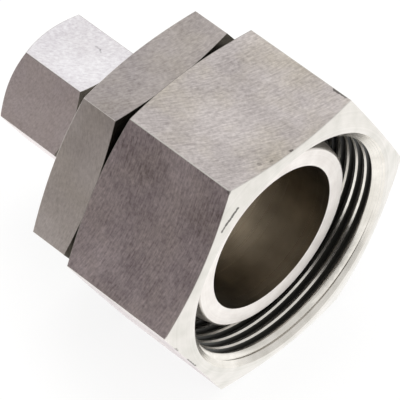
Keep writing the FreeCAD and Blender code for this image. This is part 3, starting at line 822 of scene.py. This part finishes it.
# %% [markdown]
# ## Floor and light
# The fitting lies on a white table in soft light. Metal shows what is around it, so the room matters as
# much as the lamps: a white room makes every flat pale. Two dark cards are seen only in reflections.
# The side card, low on the left of the camera, gives the flats that face it their darker tone. The
# camera card stands for the camera and its holder: it darkens the thread's crests low in the mouth.

# %% Floor
FLOOR_SIZE = 6.0
floor_mesh = bpy.data.meshes.new("floor")
floor_work = bmesh.new()
bmesh.ops.create_grid(floor_work, x_segments=1, y_segments=1, size=FLOOR_SIZE / 2)
bmesh.ops.translate(floor_work, verts=floor_work.verts[:], vec=(0, 0, nut_low.z * MM))
floor_work.to_mesh(floor_mesh)
floor_work.free()
floor = bpy.data.objects.new("floor", floor_mesh)
bpy.context.collection.objects.link(floor)
floor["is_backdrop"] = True

floor_material = bpy.data.materials.new("white_table")
floor_material.use_nodes = True
tree = floor_material.node_tree
tree.nodes.clear()
paint = add_node(tree, "ShaderNodeBsdfDiffuse", {"Color": linear("#F4F3F1")})
rays = add_node(tree, "ShaderNodeLightPath")
shine = add_node(tree, "ShaderNodeMapRange", {"Value": rays.outputs["Is Glossy Ray"], "To Min": 1.08,
                                              "To Max": 1.4}).outputs[0]
glow = add_node(tree, "ShaderNodeEmission", {"Color": (1, 1, 1, 1), "Strength": shine})
camera_share = add_node(tree, "ShaderNodeMath", {0: rays.outputs["Is Camera Ray"], 1: 0.8},
                        operation="MULTIPLY").outputs[0]
share = add_node(tree, "ShaderNodeMath", {0: camera_share, 1: rays.outputs["Is Glossy Ray"]},
                 operation="MAXIMUM").outputs[0]
table = add_node(tree, "ShaderNodeMixShader", {0: share, 1: paint.outputs[0], 2: glow.outputs[0]})
add_node(tree, "ShaderNodeOutputMaterial", {"Surface": table.outputs[0]})
floor_mesh.materials.append(floor_material)

# %% Dark cards
def dark_card(name, colour, width, height, foot, turn):
    """An upright card that only reflections show; its foot and size are in metres."""
    material = bpy.data.materials.new(name)
    material.use_nodes = True
    tree = material.node_tree
    tree.nodes.clear()
    face = add_node(tree, "ShaderNodeEmission", {"Color": linear(colour), "Strength": 1.0})
    add_node(tree, "ShaderNodeOutputMaterial", {"Surface": face.outputs[0]})
    work = bmesh.new()
    bmesh.ops.create_grid(work, x_segments=1, y_segments=1, size=0.5)
    bmesh.ops.scale(work, vec=(width, height, 1), verts=work.verts[:])
    upright = Matrix.Rotation(turn, 3, "Z") @ Matrix.Rotation(math.pi / 2, 3, "X")
    bmesh.ops.rotate(work, verts=work.verts[:], cent=CENTRE, matrix=upright)
    bmesh.ops.translate(work, verts=work.verts[:], vec=Vector(foot) + Vector((0, 0, height / 2)))
    mesh = bpy.data.meshes.new(name)
    work.to_mesh(mesh)
    work.free()
    mesh.materials.append(material)
    card = bpy.data.objects.new(name, mesh)
    bpy.context.collection.objects.link(card)
    card.visible_camera = False
    card.visible_diffuse = False
    card.visible_shadow = False
    card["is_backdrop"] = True


dark_card("side_card", "#9B9795", 0.36, 0.24, (-0.13, -0.15, nut_low.z * MM), 0.0)
dark_card("camera_card", "#3A3836", 0.23, 0.34, (0.187, -0.237, nut_low.z * MM), math.pi / 4)

# %% World and lamps
world = bpy.data.worlds.new("white_room")
bpy.context.scene.world = world
world.use_nodes = True
tree = world.node_tree
tree.nodes.clear()
rays = add_node(tree, "ShaderNodeLightPath")
to_camera = add_node(tree, "ShaderNodeMath", {0: rays.outputs["Is Camera Ray"],
                                              1: rays.outputs["Is Transmission Ray"]},
                     operation="MAXIMUM").outputs[0]
to_metal = add_node(tree, "ShaderNodeMapRange", {"Value": rays.outputs["Is Glossy Ray"], "To Min": 0.5,
                                                 "To Max": 0.95}).outputs[0]
level = add_node(tree, "ShaderNodeMath", {0: to_camera, 1: to_metal}, operation="MAXIMUM").outputs[0]
room = add_node(tree, "ShaderNodeBackground", {"Color": (1, 1, 1, 1), "Strength": level})
add_node(tree, "ShaderNodeOutputWorld", {"Surface": room.outputs[0]})


def soft_lamp(name, place, size, power):
    """A square area lamp at a place in metres that looks at the fitting."""
    light = bpy.data.lights.new(name, "AREA")
    light.size = size
    light.energy = power
    lamp = bpy.data.objects.new(name, light)
    lamp.location = place
    lamp.rotation_euler = (AIM - Vector(place)).to_track_quat("-Z", "Y").to_euler()
    lamp.visible_glossy = False
    bpy.context.collection.objects.link(lamp)


soft_lamp("overhead_softbox", (-0.2, 0.3, 1.0), 0.9, 6.0)
soft_lamp("mouth_softbox", (0.9, 0.1, 0.35), 0.6, 3.0)

bpy.context.scene.view_settings.view_transform = "Standard"

# %% Compare the two boxes and finish
visual_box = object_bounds()
change = [[round((after - before) / MM, 3) for before, after in zip(*corners)]
          for corners in zip(cad_box, visual_box)]
print("size change in mm:", change)
